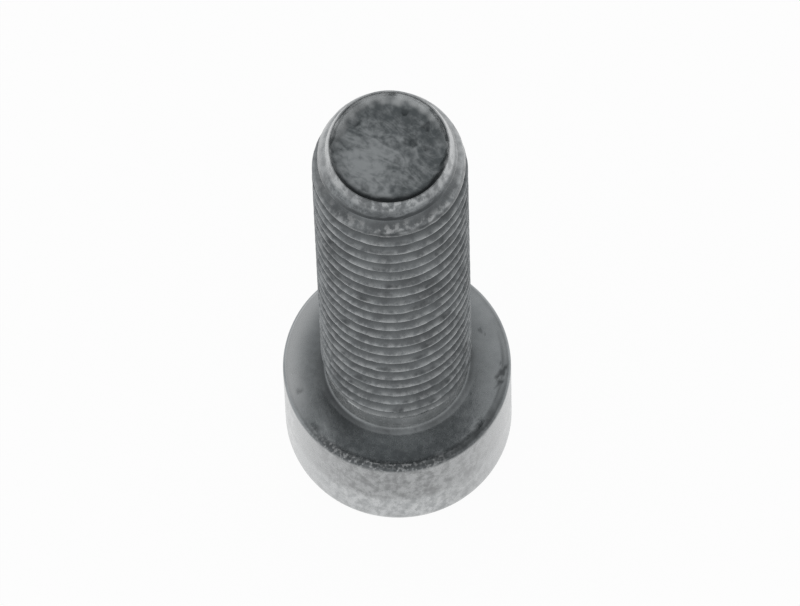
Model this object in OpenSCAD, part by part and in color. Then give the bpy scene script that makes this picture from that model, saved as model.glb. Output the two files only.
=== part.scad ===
// Machine screw with a round head, a hexagon socket and a rolled thread up to the head.
// It stands on its head: z = 0 is the socket side, and +Z runs along the shank to the threaded end.

/* [Thread] */
// Diameter over the crests
thread_d = 11.9; // [11.6:0.05:12]
// Distance from one turn to the next
pitch = 1.75; // [1.5:0.25:2]
// Width of the flat along a crest
crest_w = 0.26; // [0.2:0.02:0.34]
// Width of the flat at the bottom of the groove
root_w = 0.24; // [0.18:0.02:0.3]
// Angle between the two sides of the groove
thread_angle = 60; // [58:1:62]
// Direction in which the groove starts, seen from the threaded end
thread_start = 90; // [0:15:345]
// Turns over which the groove deepens where it leaves the neck
fade_turns = 1; // [0.4:0.1:1.2]

/* [Shank] */
// Length from the face under the head to the end
shank_l = 45; // [30:1:60]
// Diameter of the plain neck under the head
neck_d = 11; // [10.5:0.1:11.2]
// Height of the plain neck, fillet included
neck_h = 2; // [1.6:0.1:3.2]
// Height over which the crests rise from the neck
runout_h = 1.6; // [0.8:0.1:2]
// Fillet between the neck and the head
neck_fillet = 0.7; // [0.5:0.1:1]

/* [Rolled end] */
// Length of the lead, from the last full crest to the end
lead_l = 4.8; // [4.2:0.2:5]
// Radius to which the lead is rounded along the axis
lead_r = 7.8; // [7.4:0.2:9]
// Outer diameter of the rim round the end
rim_d = 9.3; // [9.2:0.1:9.6]
// Thickness of the rim
rim_w = 0.15; // [0.15:0.05:0.35]
// Height of the rim above the rounded lead
rim_h = 1; // [0.8:0.1:1.2]
// Depth of the hollow inside the rim
hollow_depth = 0.7; // [0.4:0.05:1]
// Slope at the top of the hollow's round wall
wall_slope = 65; // [50:5:80]
// Rise of the hollow's floor towards its middle
crown_h = 0.2; // [0.1:0.05:0.35]

/* [Head] */
// Diameter of the head
head_d = 18; // [17:0.1:19]
// Height of the head
head_h = 12; // [11:0.5:14]
// Radius of the head's edge on the shank side
seat_edge_r = 0.5; // [0.3:0.1:1]
// Radius of the head's edge on the socket side
top_edge_r = 1.6; // [0.8:0.1:2]

/* [Socket] */
// Width across the flats of the hexagon
socket_af = 10.1; // [8:0.1:10.4]
// Depth of the hexagon's flats
socket_depth = 6; // [5:0.25:7]
// Angle of the cone at the bottom of the socket
socket_floor_angle = 156; // [140:2:170]
// Reach of the mouth's chamfer past the hexagon's corners
mouth_margin = 0.35; // [0.2:0.05:0.6]

/* [Hidden] */

steel = [0.42, 0.44, 0.45];
// Facets of the round faces, and steps of the small arcs in the section
round_fn = 96;
arc_steps = 6;
// Steps in one turn of the groove
turn_steps = 24;

// Thread form
crest_r = thread_d / 2;
flank_slope = tan(thread_angle / 2);
groove_depth = (pitch - crest_w - root_w) / 2 / flank_slope;
root_r = crest_r - groove_depth;
// The groove's cutter stands out past the crests, by less than half of a crest's width
cutter_r = crest_r + 0.3 * crest_w / flank_slope;
cutter_half_w = root_w / 2 + (cutter_r - root_r) * flank_slope;

// Heights along the axis
seat_z = head_h;
neck_z = seat_z + neck_h;
end_z = seat_z + shank_l;
lead_z = end_z - lead_l;
rim_z = end_z - rim_h;

// Radii of the neck, the rim, and the rim's round top
neck_r = neck_d / 2;
rim_r = rim_d / 2;
rim_top_r = rim_w / 2;
rim_inner_r = rim_r - rim_w;

// The hollow: its wall is an arc that ends level, and its floor is a shallow crown
wall_r = hollow_depth / (1 - cos(wall_slope));
floor_z = end_z - rim_top_r - hollow_depth;
floor_r = rim_inner_r - wall_r * sin(wall_slope);
crown_r = (floor_r ^ 2 + crown_h ^ 2) / (2 * crown_h);
crown_angle = asin(floor_r / crown_r);

// Hexagon socket
socket_flat_r = socket_af / 2;
socket_corner_r = socket_flat_r / cos(30);
socket_cone_h = socket_flat_r / tan(socket_floor_angle / 2);
mouth_r = socket_corner_r + mouth_margin;
// Cutters of the socket start outside the face and pass their edges by these lengths
socket_over = 1;
mouth_over = 0.2;

// Arc in the plane of the section: centre, radius, first and last angle
function arc(centre, r, first, last) =
    [for (i = [0 : arc_steps])
        let (a = first + (last - first) * i / arc_steps)
        centre + r * [cos(a), sin(a)]];

// The lead leaves the crests without an edge and ends at the foot of the rim
lead_angle = asin((rim_z - lead_z) / lead_r);

// Half of the section through the axis, counter-clockwise from the socket side
section = concat(
    [[0, 0]],
    arc([head_d / 2 - top_edge_r, top_edge_r], top_edge_r, -90, 0),
    arc([head_d / 2 - seat_edge_r, seat_z - seat_edge_r], seat_edge_r, 0, 90),
    arc([neck_r + neck_fillet, seat_z + neck_fillet], neck_fillet, 270, 180),
    [[neck_r, neck_z], [crest_r, neck_z + runout_h]],
    arc([crest_r - lead_r, lead_z], lead_r, 0, lead_angle),
    arc([rim_r - rim_top_r, end_z - rim_top_r], rim_top_r, 0, 180),
    arc([floor_r, floor_z + wall_r], wall_r, wall_slope - 90, -90),
    arc([0, floor_z + crown_h - crown_r], crown_r, 90 - crown_angle, 90)
);

// The upset and turned form without its socket and thread
module blank() {
    rotate_extrude($fn = round_fn) polygon(section);
}

module socket() {
    translate([0, 0, -socket_over])
        cylinder(h = socket_over + socket_depth, r = socket_corner_r, $fn = 6);
    translate([0, 0, socket_depth])
        cylinder(h = socket_cone_h, r1 = socket_flat_r, r2 = 0, $fn = round_fn);
    translate([0, 0, -socket_over])
        cylinder(
            h = socket_over + mouth_r - socket_flat_r + mouth_over,
            r1 = mouth_r + socket_over,
            r2 = socket_flat_r - mouth_over,
            $fn = round_fn
        );
}

// The groove starts beside the neck and runs out past the end
groove_z = neck_z + pitch / 2;
groove_steps = ceil(turn_steps * (end_z + pitch / 2 - groove_z) / pitch);

// Share of the full depth that the groove has after so many turns
function groove_share(turn) = turn < fade_turns ? sin(90 * turn / fade_turns) : 1;

// Four corners of the groove's cutter at one step of the helix
function cutter_corners(step) =
    let (
        turn = step / turn_steps,
        a = thread_start + 360 * turn,
        z = groove_z + pitch * turn,
        depth = (cutter_r - root_r) * max(groove_share(turn), 1 / turn_steps),
        r = cutter_r - depth,
        half_w = cutter_half_w - depth * flank_slope
    )
    [
        [r * cos(a), r * sin(a), z - half_w],
        [cutter_r * cos(a), cutter_r * sin(a), z - cutter_half_w],
        [cutter_r * cos(a), cutter_r * sin(a), z + cutter_half_w],
        [r * cos(a), r * sin(a), z + half_w]
    ];

// One turn after another of the right-handed groove, as a single closed cutter
module groove() {
    last = 4 * groove_steps;
    sides = [
        for (first = [0 : 4 : last - 1], k = [0 : 3])
            let (next = (k + 1) % 4)
            [first + k, first + next, first + 4 + next, first + 4 + k]
    ];
    ends = [[3, 2, 1, 0], [last, last + 1, last + 2, last + 3]];
    polyhedron(
        points = [for (step = [0 : groove_steps]) each cutter_corners(step)],
        faces = concat(sides, ends),
        convexity = 10
    );
}

module cap_screw() {
    color(steel) difference() {
        blank();
        socket();
        groove();
    }
}

cap_screw();
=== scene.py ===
import bpy
import bmesh
import math
import numpy as np
from mathutils import Matrix, Vector, noise
from types import SimpleNamespace


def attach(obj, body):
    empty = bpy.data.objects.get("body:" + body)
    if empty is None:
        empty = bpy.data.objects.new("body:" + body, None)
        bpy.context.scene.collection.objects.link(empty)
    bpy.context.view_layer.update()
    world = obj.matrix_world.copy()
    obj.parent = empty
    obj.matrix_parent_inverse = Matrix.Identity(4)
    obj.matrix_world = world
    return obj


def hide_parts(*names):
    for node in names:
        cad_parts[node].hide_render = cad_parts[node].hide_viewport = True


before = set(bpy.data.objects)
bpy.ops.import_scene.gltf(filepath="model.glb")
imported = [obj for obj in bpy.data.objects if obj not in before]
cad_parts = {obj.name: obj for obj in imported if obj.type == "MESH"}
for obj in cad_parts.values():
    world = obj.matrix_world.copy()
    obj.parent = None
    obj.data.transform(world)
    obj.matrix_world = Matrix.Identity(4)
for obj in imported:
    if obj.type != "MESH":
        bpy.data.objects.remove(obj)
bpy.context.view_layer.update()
print("frame loaded:", sorted(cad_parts))

mm = 0.001   # sizes are in millimetres, and the scene is in metres


# camera

shot = {
    "imageWidth": 800,
    "imageHeight": 606,
    "sensorWidth": 36,
    "elevation": 68.7,             # degrees above the floor
    "lean": 2.09,                  # degrees by which the screw leans to the left in the picture
    "distance": 1005,              # from the middle of the face under the head
    "pixelsPerMm": 12.69,          # scale of the picture at that point
    "seatPixel": (396.9, 363.1),   # where that point falls in the picture
    "seatHeight": 12,
    "clipMetres": (0.05, 20),
}


def addCamera(c):
    tilt = math.radians(c["elevation"])
    lean = math.radians(c["lean"])
    seat = Vector((0, 0, c["seatHeight"])) * mm
    towards = Vector((0, -math.cos(tilt), math.sin(tilt)))
    across = Vector((1, 0, 0))
    above = Vector((0, math.sin(tilt), math.cos(tilt)))
    right = across * math.cos(lean) - above * math.sin(lean)
    up = across * math.sin(lean) + above * math.cos(lean)
    focalPixels = c["pixelsPerMm"] * c["distance"]
    offRight = c["imageWidth"] / 2 - c["seatPixel"][0]
    offUp = c["seatPixel"][1] - c["imageHeight"] / 2
    ahead = (right * offRight + up * offUp - towards * focalPixels).normalized()
    right = ahead.cross(up).normalized()
    up = right.cross(ahead)
    data = bpy.data.cameras.new("camera")
    data.sensor_width = c["sensorWidth"]
    data.lens = focalPixels / c["imageWidth"] * c["sensorWidth"]
    data.clip_start, data.clip_end = c["clipMetres"]
    cam = bpy.data.objects.new("camera", data)
    cam.matrix_world = Matrix((right, up, -ahead)).transposed().to_4x4()
    cam.location = seat + towards * c["distance"] * mm
    bpy.context.collection.objects.link(cam)
    bpy.context.scene.camera = cam


addCamera(shot)
print("camera placed")


# colours and nodes

def toLinear(hexColour):
    parts = [int(hexColour[i:i + 2], 16) / 255 for i in (1, 3, 5)]
    return [p / 12.92 if p <= 0.04045 else ((p + 0.055) / 1.055) ** 2.4 for p in parts] + [1]


def addNode(tree, kind, settings=None, inputs=None):
    # settings are the node's own fields; an input, by name or number, takes a value or an output
    node = tree.nodes.new(kind)
    for name, value in (settings or {}).items():
        setattr(node, name, value)
    for name, value in (inputs or {}).items():
        if isinstance(value, bpy.types.NodeSocket):
            tree.links.new(value, node.inputs[name])
        else:
            node.inputs[name].default_value = value
    return node


# the screw's form

screw = {
    "headDiameter": 18,
    "headHeight": 12,
    "seatEdge": 0.5,          # radius of the head's edge on the shank side
    "topEdge": 1.6,           # radius of the head's edge on the socket side
    "length": 45,             # from the face under the head to the end
    "threadDiameter": 11.9,
    "pitch": 1.75,
    "crestWidth": 0.26,
    "rootWidth": 0.24,
    "threadAngle": 60,
    "crestRound": 0.19,       # rolled crests have no sharp edge
    "threadStart": 90,        # degrees
    "fadeTurns": 1,           # turns over which the groove deepens beside the neck
    "lastRise": 0.5,          # by this much the groove's last turn leaves the helix towards the end
    "lastSpan": (3.6, 1.6),   # distances from the end where that starts and is complete
    "neckDiameter": 11,
    "neckHeight": 2,
    "runoutHeight": 1.6,
    "neckFillet": 0.7,
    "leadLength": 4.8,
    "leadRound": 7.8,         # radius of the lead along the axis
    "rimDiameter": 9.3,
    "rimInner": 9,
    "rimHeight": 1,
    "hollowDepth": 0.7,
    "wallAngle": 53,          # slope at the top of the hollow's wall, in degrees
    "wallRound": 1.15,        # radius at the foot of the wall
    "crownHeight": 0.2,
    "socketFlats": 10.1,
    "socketDepth": 6,
    "socketFloorAngle": 156,
    "mouthMargin": 0.35,      # reach of the mouth's chamfer past the hexagon's corners
    "coneEdge": 0.995,        # share of the flats' distance at which the cone's first ring lies
    "around": 168,            # vertices in a ring, a multiple of 6 for the hexagon's corners
    "rowsPerTurn": 14,
    "steps": {                # parts into which each stretch of the outline is divided
        "floor": 26, "wallRound": 12, "wallLine": 4, "rim": 10,
        "neck": 8, "fillet": 8, "seat": 14, "seatEdge": 8, "side": 30, "topEdge": 12, "face": 5,
        "mouth": 4, "socket": 12, "cone": 12,
    },
    "mergeDistance": 1e-4,    # vertices closer than this become one
    "tinyEdge": 1e-5,         # shorter edges are taken out
    "sharpAngle": 35,         # degrees; a blunter edge is shaded as round
}

around = screw["around"]
turnShare = np.arange(around) / around
angles = 2 * np.pi * turnShare
crestRadius = screw["threadDiameter"] / 2
flankSlope = math.tan(math.radians(screw["threadAngle"] / 2))
grooveDepth = (screw["pitch"] - screw["crestWidth"] - screw["rootWidth"]) / 2 / flankSlope
rootRadius = crestRadius - grooveDepth
headRadius = screw["headDiameter"] / 2
neckRadius = screw["neckDiameter"] / 2
seatHeight = screw["headHeight"]
neckTop = seatHeight + screw["neckHeight"]
endHeight = seatHeight + screw["length"]
leadHeight = endHeight - screw["leadLength"]
rimFoot = endHeight - screw["rimHeight"]
rimRadius = screw["rimDiameter"] / 2
rimInner = screw["rimInner"] / 2
rimRound = (rimRadius - rimInner) / 2
threadTop = endHeight - rimRound
wallAngle = math.radians(screw["wallAngle"])
wallRound = screw["wallRound"]
wallLine = (screw["hollowDepth"] - wallRound * (1 - math.cos(wallAngle))) / math.sin(wallAngle)
floorRadius = rimInner - wallRound * math.sin(wallAngle) - wallLine * math.cos(wallAngle)
floorHeight = threadTop - screw["hollowDepth"]


def smoothLeast(a, b, blend):
    # the lesser of two lengths, rounded where they meet
    share = np.clip(0.5 + 0.5 * (b - a) / blend, 0, 1)
    return b + (a - b) * share - blend * share * (1 - share)


def ease(low, high, x):
    s = np.clip((x - low) / (high - low), 0, 1)
    return s * s * (3 - 2 * s)


def blankRadius(z):
    # outline of the shank without its thread: neck, run-out, crests, rounded lead and rim
    rise = ease(neckTop, neckTop + screw["runoutHeight"], z)
    runout = neckRadius + (crestRadius - neckRadius) * rise
    leadRound = screw["leadRound"]
    roundLength = screw["leadLength"] - screw["rimHeight"]
    inLead = np.clip(z - leadHeight, 0, roundLength)
    lead = crestRadius - leadRound + np.sqrt(leadRound ** 2 - inLead ** 2)
    footRadius = crestRadius - leadRound + math.sqrt(leadRound ** 2 - roundLength ** 2)
    onRim = np.clip((z - rimFoot) / (threadTop - rimFoot), 0, 1)
    return np.minimum(runout, lead) + (rimRadius - footRadius) * onRim


def grooveOffset(turn, z):
    # distance along the axis from the middle of the groove, at that share of a turn round the axis
    first = neckTop + screw["pitch"] / 2
    lastFrom, lastTo = screw["lastSpan"]
    rise = screw["lastRise"] * ease(endHeight - lastFrom, endHeight - lastTo, z)
    turns = (z - rise - first) / screw["pitch"] - (turn - screw["threadStart"] / 360)
    return (turns - np.round(turns)) * screw["pitch"]


def threadRadius(turn, z):
    offset = grooveOffset(turn, z)
    rootHalf = screw["rootWidth"] / 2
    flank = rootRadius + (np.sqrt(offset ** 2 + rootHalf ** 2) - rootHalf) / flankSlope
    fade = ease(0, screw["fadeTurns"] * screw["pitch"], z - neckTop)
    flank = flank + (1 - fade) * grooveDepth
    return smoothLeast(blankRadius(z), flank, screw["crestRound"])


def arcPoints(centre, radius, first, last, steps):
    a = np.radians(np.linspace(first, last, steps + 1))
    return [(centre[0] + radius * math.cos(x), centre[1] + radius * math.sin(x)) for x in a]


def linePoints(start, end, steps):
    # the points between the two ends
    return [tuple(np.add(start, np.subtract(end, start) * i / steps)) for i in range(1, steps)]


def hexRadius():
    # distance from the axis to the hexagon, with its corners along X
    fromFlat = (np.degrees(angles) % 60) - 30
    return screw["socketFlats"] / 2 / np.cos(np.radians(fromFlat))


def ring(radius, height):
    r = np.broadcast_to(radius, around)
    return np.stack([r * np.cos(angles), r * np.sin(angles), np.broadcast_to(height, around)], 1)


def endRings():
    # from the crown of the hollow outwards, and over the rim to the thread's last row
    steps = screw["steps"]
    crownRadius = (floorRadius ** 2 + screw["crownHeight"] ** 2) / (2 * screw["crownHeight"])
    middle = floorHeight + screw["crownHeight"] - crownRadius
    radii = np.linspace(0, floorRadius, steps["floor"] + 1)[1:]
    floor = [(r, middle + math.sqrt(crownRadius ** 2 - r ** 2)) for r in radii]
    wallCentre = (floorRadius, floorHeight + wallRound)
    wall = arcPoints(wallCentre, wallRound, -90, screw["wallAngle"] - 90, steps["wallRound"])[1:]
    wall += linePoints(wall[-1], (rimInner, threadTop), steps["wallLine"])
    rim = arcPoints((rimInner + rimRound, threadTop), rimRound, 180, 0, steps["rim"])[1:-1]
    rings = [ring(r, z) for r, z in floor + wall + rim]
    return rings + [ring(threadRadius(turnShare, threadTop), threadTop)]


def headOutline(mouthRadius):
    # from the neck down over the seat and the head's side to the socket's mouth
    steps = screw["steps"]
    fillet = screw["neckFillet"]
    seatEdge = screw["seatEdge"]
    topEdge = screw["topEdge"]
    seatOuter = headRadius - seatEdge
    faceOuter = headRadius - topEdge
    filletCentre = (neckRadius + fillet, seatHeight + fillet)
    outline = linePoints((neckRadius, neckTop), (neckRadius, seatHeight + fillet), steps["neck"])
    outline += arcPoints(filletCentre, fillet, 180, 270, steps["fillet"])
    outline += linePoints((neckRadius + fillet, seatHeight), (seatOuter, seatHeight), steps["seat"])
    outline += arcPoints((seatOuter, seatHeight - seatEdge), seatEdge, 90, 0, steps["seatEdge"])
    outline += linePoints((headRadius, seatHeight - seatEdge), (headRadius, topEdge), steps["side"])
    outline += arcPoints((faceOuter, topEdge), topEdge, 0, -90, steps["topEdge"])
    outline += linePoints((faceOuter, 0), (mouthRadius, 0), steps["face"])
    return outline + [(mouthRadius, 0)]


def headRings():
    # the head's outline, and the socket from its mouth to the tip of its cone
    steps = screw["steps"]
    flatRadius = screw["socketFlats"] / 2
    mouthRadius = flatRadius / math.cos(math.radians(30)) + screw["mouthMargin"]
    rings = [ring(threadRadius(turnShare, neckTop), neckTop)]
    rings += [ring(r, z) for r, z in headOutline(mouthRadius)]
    hexagon = hexRadius()
    mouthDepth = mouthRadius - hexagon   # the chamfer has 45 degrees
    for s in np.linspace(0, 1, steps["mouth"] + 1)[1:]:
        rings.append(ring(mouthRadius - mouthDepth * s, mouthDepth * s))
    for s in np.linspace(0, 1, steps["socket"] + 1)[1:]:
        rings.append(ring(hexagon, mouthDepth + (screw["socketDepth"] - mouthDepth) * s))
    coneSlope = 1 / math.tan(math.radians(screw["socketFloorAngle"] / 2))
    for s in np.linspace(1, 0, steps["cone"] + 1)[:-1]:
        edge = flatRadius * s * screw["coneEdge"]
        rings.append(ring(edge, screw["socketDepth"] + (flatRadius - edge) * coneSlope))
    return rings, screw["socketDepth"] + flatRadius * coneSlope


def ringFaces(count):
    faces = []
    for row in range(count - 1):
        a = row * around
        b = a + around
        for i in range(around):
            following = (i + 1) % around
            faces.append((a + i, b + i, b + following, a + following))
    return faces


def threadMesh():
    # rows follow the helix, and they are held between the neck and the rim
    pitch = screw["pitch"]
    perTurn = screw["rowsPerTurn"]
    rowCount = math.ceil((threadTop - neckTop + pitch) / pitch * perTurn) + 1
    rowHeights = neckTop - pitch + np.arange(rowCount)[:, None] * pitch / perTurn
    heights = np.clip(rowHeights + pitch * turnShare[None], neckTop, threadTop)
    radii = threadRadius(turnShare[None], heights)
    points = np.stack([radii * np.cos(angles), radii * np.sin(angles), heights], 2).reshape(-1, 3)
    faces = []
    for row in range(rowCount - 1):
        a = row * around
        b = a + around
        faces += [(a + i, a + i + 1, b + i + 1, b + i) for i in range(around - 1)]
        if row + perTurn + 1 < rowCount:
            # after a full turn a row meets the one that started a turn higher
            c = (row + perTurn) * around
            faces.append((a + around - 1, c, c + around, b + around - 1))
    return points, faces


def joinForms():
    rings = endRings()
    points = [np.array([[0, 0, floorHeight + screw["crownHeight"]]])]
    faces = [(0, 1 + i, 1 + (i + 1) % around) for i in range(around)]
    points.append(np.concatenate(rings))
    faces += [tuple(1 + v for v in f) for f in ringFaces(len(rings))]
    first = sum(len(p) for p in points)
    threadPoints, threadFaces = threadMesh()
    points.append(threadPoints)
    faces += [tuple(first + v for v in f) for f in threadFaces]
    first += len(threadPoints)
    rings, tip = headRings()
    points.append(np.concatenate(rings))
    faces += [tuple(first + v for v in f) for f in ringFaces(len(rings))]
    last = first + (len(rings) - 1) * around
    points.append(np.array([[0, 0, tip]]))
    faces += [(last + i, last + around, last + (i + 1) % around) for i in range(around)]
    return np.concatenate(points), faces


def buildScrew():
    points, faces = joinForms()
    mesh = bpy.data.meshes.new("capScrew")
    mesh.from_pydata((points * mm).tolist(), [], faces)
    form = bmesh.new()
    form.from_mesh(mesh)
    bmesh.ops.remove_doubles(form, verts=form.verts, dist=screw["mergeDistance"] * mm)
    bmesh.ops.dissolve_degenerate(form, edges=form.edges, dist=screw["tinyEdge"] * mm)
    bmesh.ops.recalc_face_normals(form, faces=form.faces)
    form.to_mesh(mesh)
    form.free()
    return mesh


mesh = buildScrew()
triangleCount = sum(len(p.vertices) - 2 for p in mesh.polygons)
print("screw formed:", len(mesh.vertices), "vertices,", triangleCount, "triangles")

piece = bpy.data.objects.new("coated_screw", mesh)
bpy.context.collection.objects.link(piece)
for p in mesh.polygons:
    p.use_smooth = True
mesh.set_sharp_from_angle(angle=math.radians(screw["sharpAngle"]))


# wear, and painted light and shade

wearAndPaintedLight = {
    "unevenness": 0.015,      # everywhere
    "floorRelief": 0.11,      # on the sheared floor of the hollow
    "nickDepth": 0.035,       # on the crests and the rim
    "edgeDents": 0.06,        # on the head's edge
    "seamDepth": 0.06,        # of the folds that rolling leaves along the lead's crests
    # single marks on the face under the head: x, y, radius, depth
    "seatMarks": [
        (6.65, 2.54, 0.32, 0.05), (8.25, -1.08, 0.42, 0.07), (8.05, -1.9, 0.36, 0.07),
        (-7.7, -1.97, 0.3, 0.04), (-6.4, -5.3, 0.42, 0.04), (6.19, -5.62, 0.3, 0.05),
        (1.33, -5.7, 0.2, 0.03), (-0.85, -5.75, 0.16, 0.03),
    ],
    # pits in the hollow's floor
    "pits": [
        (1.83, 0.57, 0.4, 0.08), (2.9, 0.1, 0.26, 0.06), (2.85, 1.95, 0.34, 0.1),
        (1.31, 3.1, 0.32, 0.07), (-2.45, 2.3, 0.3, 0.06), (-1.85, -2.9, 0.36, 0.06),
        (0.5, -0.9, 0.2, 0.05), (1.6, -2.3, 0.24, 0.05),
    ],
    "paintedLightFloor": (-1.7, -1.4, 2.9),     # painted light on the hollow's floor is strongest round this place: x, y, reach
    # each noise's size in millimetres, and its seed
    "noises": {
        "unevenness": (1.6, 0), "nicks": (0.7, 1), "dents": (0.8, 2), "tears": (0.9, 3),
        "lumps": (0.5, 4), "ragged": (0.3, 5), "seamWaver": (0.6, 6), "seamBreaks": (1.1, 7),
        "wallEdge": (0.7, 8),
    },
    "seedShift": (7.3, 3.1, 5.7),        # a seed moves its noise by this much
    "breakShape": (0.6, 0.6, 1.5),       # the breaks in a seam are long ones round the screw
    "tearTurn": [[0.8, -0.6, 0], [0.6, 0.8, 0], [0, 0, 1]],   # 37 degrees about the axis
    "tearShape": (0.5, 1.5, 1),          # tears run long one way, and are narrow across it
    # Spans in which a share goes from 0 to 1. Lengths are in millimetres. A direction is seen from
    # the axis, and it is 1 for a place that lies that way and 0 for one a quarter turn off.
    "spans": {
        "mark": (0.5, 1.1),              # distance from a mark's middle, in its radii
        "nicks": (0.15, 0.5),            # height of the noise
        "dents": (0.1, 0.5),
        "wall": (0.2, 1),                # outwards from the edge of the hollow's floor
        "shadedNearWall": (0.15, 0.65),
        "farSide": (-0.1, 0.6),          # direction to the back
        "nearSide": (0, 0.8),            # direction to the front
        "rimEdge": (-0.3, 0),            # outwards from the inside of the rim
        "rim": (-0.15, 0.2),             # upwards from the rim's foot
        "rimFront": (-0.1, 0.3),
        "collarFrom": (-1.6, -0.9),
        "collarTo": (-0.2, 0.15),
        "leadTo": (-0.1, 0.1),
        "leadFrom": (0.4, 1.6),          # upwards from the lead's start
        "bareLead": (0.6, 1.8),
        "lastTurn": (1.8, 2.6),
        "notBare": (0.05, 0.6),          # direction to the front
        "crest": (0.04, 0.22),           # inwards from the crests
        "groove": (0.05, 0.55),
        "seam": (0.12, 0.3),             # distance from the middle of the seam
        "lastSeam": (0.2, 0.4),
        "dash": (0.06, 0.2),
        "seamHolds": (-0.5, -0.2),       # height of the noise
        "dashHolds": (0.2, 0.35),
        "besideFrom": (0.2, 0.35),       # upwards from the middle of a crest
        "besideTo": (0.45, 0.65),
        "farRight": (0.2, 0.8),          # direction to the right
        "behind": (-0.3, 0.4),           # direction to the back
        "frontRight": (0.3, 0.8),        # direction to the right
        "front": (0.2, 0.5),             # direction to the front
        "foremost": (0.8, 1),
        "lightLeft": (0.2, 0.85),        # direction to the left
        "lightEnds": (0.1, 0.6),         # direction to the front
        "shankShadeReach": (5.9, 8.4),          # distance from the axis
        "seatPaintedLight": (6.8, 8.6),
        "seat": (0.3, 1),                # outwards from the neck
        "sideTo": (-0.75, -0.35),        # upwards from the face under the head
        "edgeHeight": (-0.62, -0.4),
        "edgeRadius": (-0.7, -0.5),      # outwards from the head's side
        "edgeFront": (0.25, 0.8),        # direction to the darkest part of the edge
        "line": (0.06, 0.16),            # distance from the middle of the line
        "lineFront": (0.1, 0.5),         # direction to the darkest part of the line
        "specks": (0.55, 0.95),          # direction to the most specks
        "low": (4.6, 6.2),               # height above the floor
        "lowRight": (0.1, 0.7),          # direction to the right
        "neckFrom": (0.15, 0.6),         # upwards from the face under the head
        "neckTo": (0.6, 1.6),            # upwards from the neck's top
    },
    # how strong a share is, or by how much another one takes it away
    "amounts": {
        "ragged": 0.9,                   # the edges of marks and pits
        "wallWaver": 0.5,                # millimetres
        "shadedNearWallShift": 0.3,            # millimetres
        "litFarWall": 0.95,
        "leastRim": 0.15,                # at the front and back; it is whole at the sides, where it is a painted reflection
        "leastCrest": 0.5,               # at the sides and the back; it is whole at the front, where it is painted light
        "sideShade": 0.15,
        "grooveDirtAndShade": 0.95,
        "frontLessShade": 0.5,
        "bareLessDark": 0.8,
        "leadLessDark": 0.5,
        "seamWaver": 0.15,               # millimetres
        "seamAbove": 0.06,               # millimetres above the middle of a crest
        "lastSeamDrop": 0.42,            # millimetres by which the last seam lies lower
        "dashAbove": 0.15,               # millimetres
        "dashes": 0.6,
        "sideSeamLess": 0.7,
        "farRight": 0.15,
        "shankShadeStrength": 0.45,
        "shankShadeLeft": 0.12,                # the painted shade is deeper at the left by this much, and less deep at the right
        "frontShankShadeLeft": 0.12,           # added to that at the front
        "frontRightLess": 0.15,
        "seatPaintedLight": 0.8,
        "lineInset": 0.62,               # millimetres from the head's side to the line on its edge
        "line": 0.6,
        "lowRightLess": 0.5,
        "sideSheen": 0.72,
        "sideSheenLeft": 0.12,
        "edgeDirt": 0.78,
        "collar": 0.9,
        "seamDirt": 0.8,
        "pitDirt": 5,                    # for each millimetre of depth
        "markDirt": 10,
    },
    # where the head's edge is darkest, has its line and is most speckled, in radians from the front
    "edgeTurn": 0.12,
    "lineTurn": 0.5,
    "speckTurn": -0.35,
}


def noiseAt(points, name):
    size, seed = wearAndPaintedLight["noises"][name]
    shift = Vector([seed * s for s in wearAndPaintedLight["seedShift"]])
    return np.array([noise.noise(Vector(p) / size + shift) for p in points.tolist()])


def inSpan(name, x):
    return ease(*wearAndPaintedLight["spans"][name], x)


def markDepth(points, marks):
    # depth in the marks, with ragged edges
    deepest = np.zeros(len(points))
    ragged = 1 + wearAndPaintedLight["amounts"]["ragged"] * noiseAt(points, "ragged")
    for x, y, radius, depth in marks:
        away = np.hypot(points[:, 0] - x, points[:, 1] - y) * ragged / radius
        deepest = np.maximum(deepest, (1 - inSpan("mark", away)) * depth)
    return deepest


def patchShare(points, patch):
    away = np.hypot(points[:, 0] - patch[0], points[:, 1] - patch[1]) / patch[2]
    return np.exp(-away ** 2)


def placeOf(points):
    bearing = np.arctan2(points[:, 1], points[:, 0])
    toRight = np.cos(bearing)
    toBack = np.sin(bearing)
    return SimpleNamespace(
        points=points,
        r=np.hypot(points[:, 0], points[:, 1]),
        z=points[:, 2],
        bearing=bearing,
        toRight=toRight,
        toBack=toBack,
        near=np.clip(-toBack, 0, 1),      # how far a place lies towards the front
        aside=np.abs(toRight) ** 3)       # only the far left and right


# In these functions a test with > or < picks out a face, with a margin that takes in its vertices.

def describeHollow(at):
    amounts = wearAndPaintedLight["amounts"]
    inside = (at.r < rimInner + 0.02) * (at.z > floorHeight - 0.5)
    fromFloor = at.r - floorRadius
    wallEdge = fromFloor + amounts["wallWaver"] * noiseAt(at.points, "wallEdge")
    # painted light on the hollow's far wall, which faces the front
    litFarWall = inSpan("wall", wallEdge) * inside * inSpan("farSide", at.toBack)
    # painted shadow along the foot of the hollow's wall at the front, under the near rim
    inward = amounts["shadedNearWallShift"] * (1 - at.near ** 3)
    shadedNearWall = inSpan("shadedNearWall", fromFloor - inward) * inside * inSpan("nearSide", -at.toBack)
    return SimpleNamespace(
        inside=inside, litFarWall=litFarWall, shadedNearWall=shadedNearWall, sheared=inside - litFarWall,
        pits=markDepth(at.points, wearAndPaintedLight["pits"]) * inside)


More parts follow.
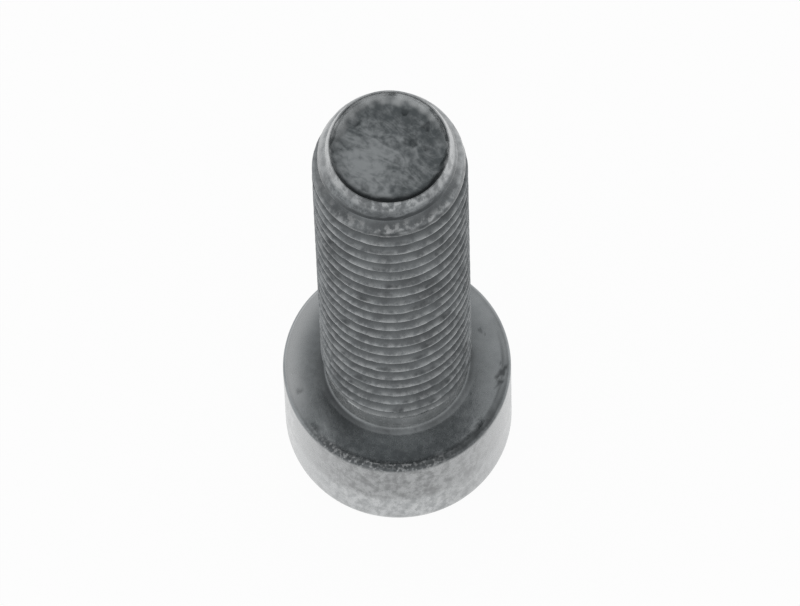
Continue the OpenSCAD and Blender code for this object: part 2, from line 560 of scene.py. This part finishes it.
def describeLead(at):
    leastRim = wearAndPaintedLight["amounts"]["leastRim"]
    outer = at.r > rimInner
    aboveStart = at.z - leadHeight
    aboveFoot = at.z - rimFoot
    rim = inSpan("rim", aboveFoot) * inSpan("rimEdge", at.r - rimInner)
    return SimpleNamespace(
        # the rim's wear, with a painted reflection at its sides
        rim=rim * (leastRim + (1 - leastRim) * at.aside),
        rimFront=inSpan("rimFront", aboveFoot) * outer * at.near,
        bare=inSpan("bareLead", aboveStart) * outer * (1 - inSpan("notBare", at.near)),
        # painted shade in the groove under the rim
        collar=inSpan("collarFrom", aboveFoot) * (1 - inSpan("collarTo", aboveFoot)) * outer,
        whole=inSpan("leadFrom", aboveStart) * (1 - inSpan("leadTo", aboveFoot)) * outer,
        last=inSpan("lastTurn", aboveStart))


def describeThread(at, lead):
    amounts = wearAndPaintedLight["amounts"]
    onThread = (at.z > neckTop + 0.3) * (at.z < rimFoot)
    depth = blankRadius(at.z) - at.r
    leastCrest = amounts["leastCrest"]
    # worn crests, lighter at the front as painted light
    crest = (1 - inSpan("crest", depth)) * onThread * (leastCrest + (1 - leastCrest) * at.near)
    # dirt and painted shade deep in the grooves, with more painted shade at the far sides and less at
    # the front
    groove = np.maximum(inSpan("groove", depth), amounts["sideShade"] * at.aside) * onThread
    groove = groove * (amounts["grooveDirtAndShade"] - amounts["frontLessShade"] * at.near)
    groove = groove * (1 - amounts["bareLessDark"] * lead.bare)
    groove = groove * (1 - amounts["leadLessDark"] * lead.whole)

    # seams that rolling leaves beside the crests; the last one lies lower and is wider
    pitch = screw["pitch"]
    aboveCrest = grooveOffset(at.bearing / 2 / np.pi, at.z) % pitch - pitch / 2
    aboveCrest = aboveCrest + amounts["seamWaver"] * noiseAt(at.points, "seamWaver")
    breaks = noiseAt(at.points * wearAndPaintedLight["breakShape"], "seamBreaks")
    fromSeam = np.abs(aboveCrest - amounts["seamAbove"] + amounts["lastSeamDrop"] * lead.last)
    ends = zip(wearAndPaintedLight["spans"]["seam"], wearAndPaintedLight["spans"]["lastSeam"])
    low, high = [usual + (final - usual) * lead.last for usual, final in ends]
    seam = lead.whole * inSpan("seamHolds", breaks) * (1 - ease(low, high, fromSeam))
    fromDash = np.abs(aboveCrest - amounts["dashAbove"])
    dashes = onThread * inSpan("dashHolds", breaks) * (1 - inSpan("dash", fromDash))
    seam = seam * (1 - amounts["sideSeamLess"] * at.aside)
    beside = inSpan("besideFrom", aboveCrest) * (1 - inSpan("besideTo", aboveCrest))
    return SimpleNamespace(
        crest=crest, groove=groove, seam=np.maximum(seam, amounts["dashes"] * dashes),
        besideSeam=beside * lead.whole * (1 - lead.last) * at.near)


def describeSeat(at):
    # the face under the head has painted light outside, most at the left, and painted shade round the
    # neck, where the shank keeps the sky out of its reflection
    amounts = wearAndPaintedLight["amounts"]
    onSeat = (at.z > seatHeight - 0.1) * (at.z < seatHeight + 0.6) * (at.r > neckRadius + 0.3)
    farRight = inSpan("farRight", at.toRight) * inSpan("behind", at.toBack)
    frontRight = inSpan("frontRight", at.toRight) * inSpan("front", at.near)
    leftSide = inSpan("lightLeft", -at.toRight) * (1 - inSpan("lightEnds", at.near))
    # painted light, at the left and far right
    light = np.maximum(leftSide, amounts["farRight"] * farRight)
    # painted shade round the neck
    shankShadeLeft = amounts["shankShadeLeft"] + amounts["frontShankShadeLeft"] * inSpan("front", at.near)
    shankShadeStrength = amounts["shankShadeStrength"] - shankShadeLeft * at.toRight - amounts["frontRightLess"] * frontRight
    shankShade = (1 - inSpan("shankShadeReach", at.r)) * shankShadeStrength * (1 - inSpan("foremost", at.near)) * onSeat
    marks = markDepth(at.points, wearAndPaintedLight["seatMarks"])
    return SimpleNamespace(
        light=amounts["seatPaintedLight"] * inSpan("seatPaintedLight", at.r) * onSeat * light, shankShade=shankShade,
        marks=marks * (at.z < seatHeight + 1.5) * (at.z > seatHeight - 0.3))


def describeHead(at):
    # the head's side is lighter low down and has a painted sheen at the far left and right, and its
    # edge is dark towards the front
    amounts = wearAndPaintedLight["amounts"]
    aboveSeat = at.z - seatHeight
    fromSide = at.r - headRadius
    side = (at.r > headRadius - 0.4) * (1 - inSpan("sideTo", aboveSeat))
    side = np.maximum(side, (at.z < 0.5) * (at.r > 6))
    edge = inSpan("edgeRadius", fromSide) * inSpan("edgeHeight", aboveSeat)
    edge = edge * inSpan("edgeFront", -np.sin(at.bearing - wearAndPaintedLight["edgeTurn"]))
    line = 1 - inSpan("line", np.abs(fromSide + amounts["lineInset"]))
    line = line * (at.z > seatHeight - 0.3)
    line = line * inSpan("lineFront", -np.sin(at.bearing - wearAndPaintedLight["lineTurn"]))
    edge = np.maximum(edge, amounts["line"] * line)
    lessLow = 1 - amounts["lowRightLess"] * inSpan("lowRight", at.toRight)
    return SimpleNamespace(
        side=side, edge=edge, low=side * (1 - inSpan("low", at.z)) * lessLow,
        # painted sheen at the far left and right of the head's side
        sideSheen=side * at.aside * (amounts["sideSheen"] - amounts["sideSheenLeft"] * at.toRight),
        speckled=edge * inSpan("specks", -np.sin(at.bearing - wearAndPaintedLight["speckTurn"])))


def describeSurface(points):
    # For each vertex, shares from 0 to 1 that steer the coat, and what steers the worn form: shares
    # too, apart from sunk, which is a depth in millimetres.
    amounts = wearAndPaintedLight["amounts"]
    at = placeOf(points)
    hollow = describeHollow(at)
    lead = describeLead(at)
    thread = describeThread(at, lead)
    seat = describeSeat(at)
    head = describeHead(at)
    onSeat = (at.z < seatHeight + 0.6) * (at.z > seatHeight - 0.6) * (1 - head.side)
    # painted light on the neck under the thread
    neck = (1 - inSpan("neckTo", at.z - neckTop)) * inSpan("neckFrom", at.z - seatHeight)
    # painted shadow at the hollow's near wall, and dirt in the seams, pits and marks
    seamsAndWall = np.maximum(hollow.shadedNearWall, amounts["seamDirt"] * thread.seam)
    marks = np.maximum(amounts["pitDirt"] * hollow.pits, amounts["markDirt"] * seat.marks)
    shares = {
        "seat": inSpan("seat", at.r - neckRadius) * onSeat,
        "seatPaintedLight": seat.light,
        "sheared": hollow.sheared,
        "paintedLightFloor": patchShare(points, wearAndPaintedLight["paintedLightFloor"]) * hollow.inside,
        "litFarWall": amounts["litFarWall"] * hollow.litFarWall,
        "side": head.side,
        "low": head.low,
        "sideSheen": head.sideSheen,
        "neck": neck * (at.r < neckRadius + 0.8),
        "crest": thread.crest * (1 - lead.collar),
        "rim": lead.rim,
        "rimFront": lead.rimFront,
        "bareLead": lead.bare,
        "besideSeam": thread.besideSeam,
        # dirt, and painted shade in the grooves and round the neck
        "dirtAndShade": np.maximum(np.maximum(thread.groove, seat.shankShade), amounts["edgeDirt"] * head.edge),
        "collar": amounts["collar"] * lead.collar * (1 - lead.bare),
        "deep": np.maximum(seamsAndWall, marks),
        "speckled": head.speckled,       # the coat is lost in specks there
    }
    form = {
        "nicked": np.maximum(thread.crest, lead.rim),
        "dented": head.edge,
        "folded": thread.seam,
        "torn": hollow.sheared,
        "sunk": hollow.pits + seat.marks,
    }
    return shares, form


# forms the wear, and stores the coat's shares, among them painted light and shade
def wearDownAndPaintLight(mesh):
    points = np.array([v.co for v in mesh.vertices]) / mm
    normals = np.array([v.normal for v in mesh.vertices])
    shares, form = describeSurface(points)
    turned = points @ np.array(wearAndPaintedLight["tearTurn"]) * wearAndPaintedLight["tearShape"]
    tears = 1 - np.abs(noiseAt(turned, "tears")) * 2
    lumps = 0.5 + 0.5 * noiseAt(points, "lumps")
    sink = wearAndPaintedLight["unevenness"] * (0.5 + 0.5 * noiseAt(points, "unevenness")) + form["sunk"]
    sink = sink + wearAndPaintedLight["nickDepth"] * inSpan("nicks", noiseAt(points, "nicks")) * form["nicked"]
    sink = sink + wearAndPaintedLight["edgeDents"] * inSpan("dents", noiseAt(points, "dents")) * form["dented"]
    sink = sink + wearAndPaintedLight["seamDepth"] * form["folded"]
    sink = sink + wearAndPaintedLight["floorRelief"] * (0.5 * tears + 0.5 * lumps) * form["torn"]
    points = points - normals * sink[:, None]
    mesh.vertices.foreach_set("co", (points * mm).ravel())
    for name, share in shares.items():
        layer = mesh.attributes.new(name, "FLOAT", "POINT")
        layer.data.foreach_set("value", np.asarray(share, dtype=float))
    mesh.update()
    return list(shares)


shareNames = wearDownAndPaintLight(mesh)
print("wear formed")


# material

# Cold-headed and rolled steel with a phosphate coat: a dull, slightly metallic grey, which turns
# brighter where tumbling and handling rub it thin, and nearly black where oil and dirt stay.
# Painted light and shade lie in the colour too: painted light on the face under the head, the neck,
# the hollow's far wall and floor, the rim's sides, the crests' front and the head's far sides, and
# painted shade round the neck, in the grooves, under the rim and at the hollow's near wall.
coat = {
    "metallic": 0.95,
    "neckDull": 0.45,         # on the neck the coat is thick, and less metallic by this much
    "roughness": 0.05,
    "patchRoughness": 0.4,    # the patches add up to this
    "tornRoughness": 0.15,
    "drawn": 0.5,             # patterns are drawn out along the axis to twice their width
    "streakTurn": -38,        # direction of the tears on the floor of the hollow, in degrees
    "streakShape": (1.5, 0.75, 1),
    "floorPaintedLight": 0.2,
    # Phosphate crystals are about 0.01 mm, too fine to show. Drawn are the clouds and patches they
    # form, with their size in millimetres, detail, roughness and distortion.
    "noises": {
        "clouds": (2, 4, 0.55, 0),
        "patches": (0.588, 4, 0.6, 0),
        "specks": (0.25, 3, 0.6, 0),
        "streaks": (1.43, 4, 0.6, 2),
    },
    # two noises, the second one's part, and the span in which dark turns to light
    "mixes": {
        "broad": ("clouds", "patches", 0.4, 0.35, 0.65),
        "fine": ("patches", "specks", 0.2, 0.34, 0.66),
        "torn": ("streaks", "patches", 0.5, 0.414, 0.774),
    },
    # From the first layer up: its dark and light colour, the pattern that mixes them, and where it
    # lies. A place can be broken up by a pattern, in a span that leads from one strength to another.
    "layers": [
        (("#6B6E70", "#878B8D"), "broad", []),                   # thread, and everywhere else
        (("#878B8D", "#979B9D"), "broad", [("seat",)]),
        # painted light on the outer face under the head
        (("#BEC0C1",), "", [("seatPaintedLight",)]),
        (("#595E60", "#9B9FA1"), "torn", [("sheared",)]),        # rougher than the rest
        # painted light on the hollow's far wall
        (("#8C8F90", "#B4B7B8"), "broad", [("litFarWall",)]),
        (("#67696A", "#A1A3A4"), "fine", [("side",)]),
        (("#8C8F90", "#C0C2C3"), "fine", [("low",)]),
        # painted sheen at the head's far sides
        (("#C0C2C3",), "", [("sideSheen",)]),
        # painted light on the neck
        (("#989C9D", "#B2B5B6"), "broad", [("neck",)]),
        # worn crests and rim, with a painted reflection at the rim's sides and painted light on the
        # crests' front
        (("#BEC0C1",), "", [
            ("crest", "patches", 0.4, 0.62, 0, 0.4),
            ("rim", "patches", 0.4, 0.6, 0.45, 1),
            ("rimFront", "patches", 0.5, 0.6, 0, 0.55)]),
        (("#BEC0C1",), "", [("bareLead", "patches", 0.35, 0.65, 0.3, 0.6)]),
        (("#BEC0C1",), "", [("besideSeam", "patches", 0.45, 0.6, 0, 0.65)]),
        # oil and dirt, with painted shade round the neck, in the grooves, under the rim and at the
        # hollow's near wall
        (("#2A2D2F",), "", [
            ("dirtAndShade", "patches", 0.3, 0.6, 0.7, 1),
            ("collar", "specks", 0.42, 0.58, 0.1, 0.5),
            ("rimFront", "patches", 0.4, 0.56, 0.35, 0),
            ("deep",)]),
        (("#BEC0C1",), "", [("speckled", "specks", 0.48, 0.64, 0, 0.5)]),
    ],
    "grainSpecks": 0.3,       # part of the specks in the relief
    "reliefDepth": 0.04,      # millimetres
    "reliefStrength": 0.4,
    "tornRelief": 2,          # the floor of the hollow is this much rougher
}


def coatPatterns(c, tree, paintedLightFloor):
    place = addNode(tree, "ShaderNodeTexCoord").outputs["Object"]
    inMm = addNode(tree, "ShaderNodeVectorMath", {"operation": "SCALE"}, {
        0: place, "Scale": 1 / mm}).outputs[0]
    drawn = addNode(tree, "ShaderNodeVectorMath", {"operation": "MULTIPLY"}, {
        0: inMm, 1: (1, 1, c["drawn"])}).outputs[0]
    turned = addNode(tree, "ShaderNodeMapping", {"vector_type": "TEXTURE"}, {
        "Vector": inMm, "Rotation": (0, 0, math.radians(c["streakTurn"])),
        "Scale": c["streakShape"]}).outputs[0]
    patterns = {}
    for name, (size, detail, roughness, distortion) in c["noises"].items():
        patterns[name] = addNode(tree, "ShaderNodeTexNoise", None, {
            "Vector": turned if name == "streaks" else drawn, "Scale": 1 / size,
            "Detail": detail, "Roughness": roughness, "Distortion": distortion}).outputs["Fac"]
    for name, (first, second, part, low, high) in c["mixes"].items():
        mixed = addNode(tree, "ShaderNodeMix", None, {
            0: part, 2: patterns[first], 3: patterns[second]}).outputs[0]
        if name == "torn":
            # painted light lifts the floor's pattern round that place
            mixed = addNode(tree, "ShaderNodeMath", {"operation": "MULTIPLY_ADD"}, {
                0: paintedLightFloor, 1: c["floorPaintedLight"], 2: mixed}).outputs[0]
        patterns[name] = addNode(tree, "ShaderNodeMapRange", {"interpolation_type": "SMOOTHSTEP"}, {
            "Value": mixed, "From Min": low, "From Max": high}).outputs[0]
    return patterns


def coatCover(tree, shares, patterns, places):
    # how much of the surface a layer covers
    cover = None
    for name, *broken in places:
        part = shares[name]
        if broken:
            pattern, low, high, least, most = broken
            strength = addNode(tree, "ShaderNodeMapRange", {"interpolation_type": "SMOOTHSTEP"}, {
                "Value": patterns[pattern], "From Min": low, "From Max": high,
                "To Min": least, "To Max": most}).outputs[0]
            part = addNode(tree, "ShaderNodeMath", {"operation": "MULTIPLY"}, {
                0: part, 1: strength}).outputs[0]
        if cover:
            part = addNode(tree, "ShaderNodeMath", {"operation": "MAXIMUM"}, {
                0: cover, 1: part}).outputs[0]
        cover = part
    return cover


def coatColour(c, tree, shares, patterns):
    colour = None
    for hexColours, pattern, places in c["layers"]:
        tint = toLinear(hexColours[0])
        if pattern:
            tint = addNode(tree, "ShaderNodeMix", {"data_type": "RGBA"}, {
                0: patterns[pattern], 6: tint, 7: toLinear(hexColours[1])}).outputs[2]
        cover = coatCover(tree, shares, patterns, places)
        if cover:
            tint = addNode(tree, "ShaderNodeMix", {"data_type": "RGBA"}, {
                0: cover, 6: colour, 7: tint}).outputs[2]
        colour = tint
    return colour


def coatRelief(c, tree, shares, patterns):
    grain = addNode(tree, "ShaderNodeMix", None, {
        0: c["grainSpecks"], 2: patterns["patches"], 3: patterns["specks"]}).outputs[0]
    tears = addNode(tree, "ShaderNodeMath", {"operation": "MULTIPLY"}, {
        0: patterns["streaks"], 1: shares["sheared"]}).outputs[0]
    relief = addNode(tree, "ShaderNodeMath", {"operation": "MULTIPLY_ADD"}, {
        0: tears, 1: c["tornRelief"], 2: grain}).outputs[0]
    return addNode(tree, "ShaderNodeBump", None, {
        "Strength": c["reliefStrength"], "Distance": c["reliefDepth"] * mm,
        "Height": relief}).outputs[0]


def coatedSteel(c, shareNames):
    steel = bpy.data.materials.new("phosphatedSteel")
    steel.use_nodes = True
    tree = steel.node_tree
    tree.nodes.clear()
    shares = {}
    for name in shareNames:
        shares[name] = addNode(tree, "ShaderNodeAttribute", {
            "attribute_name": name}).outputs["Fac"]
    patterns = coatPatterns(c, tree, shares["paintedLightFloor"])
    metallic = addNode(tree, "ShaderNodeMath", {"operation": "MULTIPLY_ADD"}, {
        0: shares["neck"], 1: -c["neckDull"], 2: c["metallic"]}).outputs[0]
    rough = addNode(tree, "ShaderNodeMath", {"operation": "MULTIPLY_ADD"}, {
        0: patterns["patches"], 1: c["patchRoughness"], 2: c["roughness"]}).outputs[0]
    rough = addNode(tree, "ShaderNodeMath", {"operation": "MULTIPLY_ADD"}, {
        0: shares["sheared"], 1: c["tornRoughness"], 2: rough}).outputs[0]
    shader = addNode(tree, "ShaderNodeBsdfPrincipled", None, {
        "Base Color": coatColour(c, tree, shares, patterns), "Metallic": metallic,
        "Roughness": rough, "Normal": coatRelief(c, tree, shares, patterns)}).outputs[0]
    addNode(tree, "ShaderNodeOutputMaterial", None, {"Surface": shader})
    return steel


mesh.materials.append(coatedSteel(coat, shareNames))
print("coat ready")

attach(piece, "root")
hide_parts("cap_screw")


# floor, light and world

studio = {
    "floorHalf": 3000,          # from the screw to the floor's edge
    "floorColour": "#FCFCFC",
    "shadowShare": 0.05,        # how much of the floor's own shading the camera sees
    "horizon": 1,
    "zenith": 0.7,
    "zenithFrom": 0.45,         # height on the sky's dome, from 0 to 1, where it is reached
    "leftGain": 0.12,           # the left is this much brighter than the middle, the right less bright
    "sideDrop": 0.56,           # high up, both sides are darker than the front
}


def addFloor(s):
    half = s["floorHalf"] * mm
    corners = [(-half, -half, 0), (half, -half, 0), (half, half, 0), (-half, half, 0)]
    floorMesh = bpy.data.meshes.new("floor")
    floorMesh.from_pydata(corners, [], [(0, 1, 2, 3)])
    floor = bpy.data.objects.new("floor", floorMesh)
    bpy.context.collection.objects.link(floor)
    # background paper: no gloss, and a plain white to the camera
    paper = bpy.data.materials.new("mattPaper")
    paper.use_nodes = True
    tree = paper.node_tree
    tree.nodes.clear()
    matt = addNode(tree, "ShaderNodeBsdfDiffuse", None, {
        "Color": toLinear(s["floorColour"])}).outputs[0]
    white = addNode(tree, "ShaderNodeEmission", None, {
        "Color": (1, 1, 1, 1), "Strength": 1}).outputs[0]
    ray = addNode(tree, "ShaderNodeLightPath").outputs
    seen = ray["Is Camera Ray"]
    for name in ("Is Glossy Ray", "Is Transmission Ray"):
        seen = addNode(tree, "ShaderNodeMath", {"operation": "MAXIMUM"}, {
            0: seen, 1: ray[name]}).outputs[0]
    share = addNode(tree, "ShaderNodeMath", {"operation": "MULTIPLY"}, {
        0: seen, 1: 1 - s["shadowShare"]}).outputs[0]
    mixed = addNode(tree, "ShaderNodeMixShader", None, {0: share, 1: matt, 2: white}).outputs[0]
    addNode(tree, "ShaderNodeOutputMaterial", None, {"Surface": mixed})
    floorMesh.materials.append(paper)


def addWorld(s):
    world = bpy.data.worlds.new("studio")
    world.use_nodes = True
    bpy.context.scene.world = world
    tree = world.node_tree
    tree.nodes.clear()
    where = addNode(tree, "ShaderNodeTexCoord").outputs["Generated"]
    x, y, z = addNode(tree, "ShaderNodeSeparateXYZ", None, {0: where}).outputs
    level = addNode(tree, "ShaderNodeMapRange", {"interpolation_type": "SMOOTHSTEP"}, {
        "Value": z, "From Min": 0, "From Max": s["zenithFrom"],
        "To Min": s["horizon"], "To Max": s["zenith"]}).outputs[0]
    tilted = addNode(tree, "ShaderNodeMath", {"operation": "MULTIPLY_ADD"}, {
        0: x, 1: -s["leftGain"], 2: 1}).outputs[0]
    aside = addNode(tree, "ShaderNodeMath", {"operation": "MULTIPLY"}, {0: x, 1: x}).outputs[0]
    aside = addNode(tree, "ShaderNodeMath", {"operation": "MULTIPLY"}, {0: aside, 1: z}).outputs[0]
    drop = addNode(tree, "ShaderNodeMath", {"operation": "MULTIPLY_ADD"}, {
        0: aside, 1: -s["sideDrop"], 2: 1}).outputs[0]
    for part in (tilted, drop):
        level = addNode(tree, "ShaderNodeMath", {"operation": "MULTIPLY"}, {
            0: level, 1: part}).outputs[0]
    glow = addNode(tree, "ShaderNodeBackground", None, {
        "Color": (1, 1, 1, 1), "Strength": level}).outputs[0]
    addNode(tree, "ShaderNodeOutputWorld", None, {"Surface": glow})


addFloor(studio)
addWorld(studio)
bpy.context.scene.view_settings.view_transform = "Standard"
print("floor and light ready")
